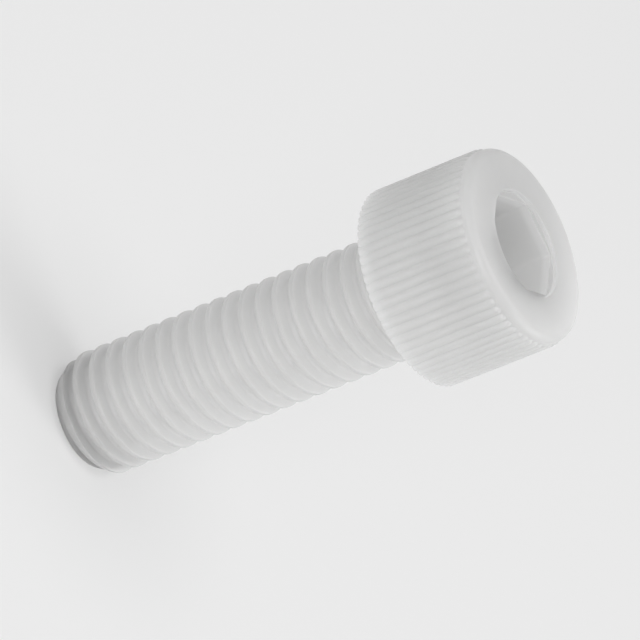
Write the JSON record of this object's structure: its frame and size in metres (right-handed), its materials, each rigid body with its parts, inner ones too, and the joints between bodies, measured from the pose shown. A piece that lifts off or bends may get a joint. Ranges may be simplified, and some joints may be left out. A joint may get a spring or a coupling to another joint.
{
  "type": "socket head cap screw",
  "caption": "White nylon cap screw with a ribbed round head, a hexagon socket and a full-length metric thread, standing on its tip.",
  "frame": {"origin": "centre of the flat end of the thread, which the screw stands on", "axes": "+Z along the screw's axis towards the head; +X towards the line where the thread's crests are counted from"},
  "size_m": [0.0128, 0.0128, 0.033],
  "materials": {
    "nylon": "satin, milky natural nylon"
  },
  "bodies": {
    "root": {"screw": "nylon"}
  },
  "joints": []
}
